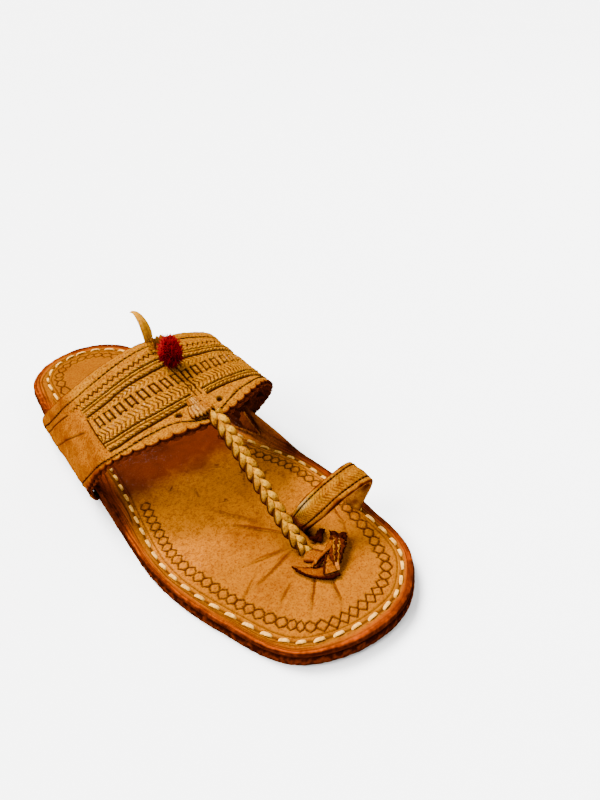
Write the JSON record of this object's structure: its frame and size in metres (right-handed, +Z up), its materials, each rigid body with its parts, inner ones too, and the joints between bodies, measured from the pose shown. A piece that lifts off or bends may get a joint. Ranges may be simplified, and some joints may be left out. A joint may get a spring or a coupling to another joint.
{
  "type": "kolhapuri sandal",
  "caption": "Flat leather kolhapuri sandal for the right foot, with a tooled instep band, a braided thong, a toe loop, a red wool pompom and a curled leaf.",
  "frame": {"origin": "centre of the box in X and Y, at the lowest face of the sole", "axes": "+Y from heel to toe, +X to the wearer's right (the outer side of this shoe), +Z up"},
  "size_m": [0.101, 0.281, 0.0813],
  "materials": {
    "sole_leather": "burnished edge, worn underside",
    "insole_leather": "oiled, semi-matt",
    "band_leather": "tooled, semi-matt",
    "trim_leather": "cut edges, semi-matt",
    "thong_leather": "oiled, semi-matt",
    "wool": "fuzzy"
  },
  "bodies": {
    "root": {"outsole": "sole_leather", "heel_lift": "sole_leather", "insole": "insole_leather", "upper": "band_leather", "patch_rear": "trim_leather", "patch_front": "trim_leather", "rosette": "trim_leather", "pompom": "wool", "leaf": "trim_leather", "toe_knot": "thong_leather"}
  },
  "joints": []
}
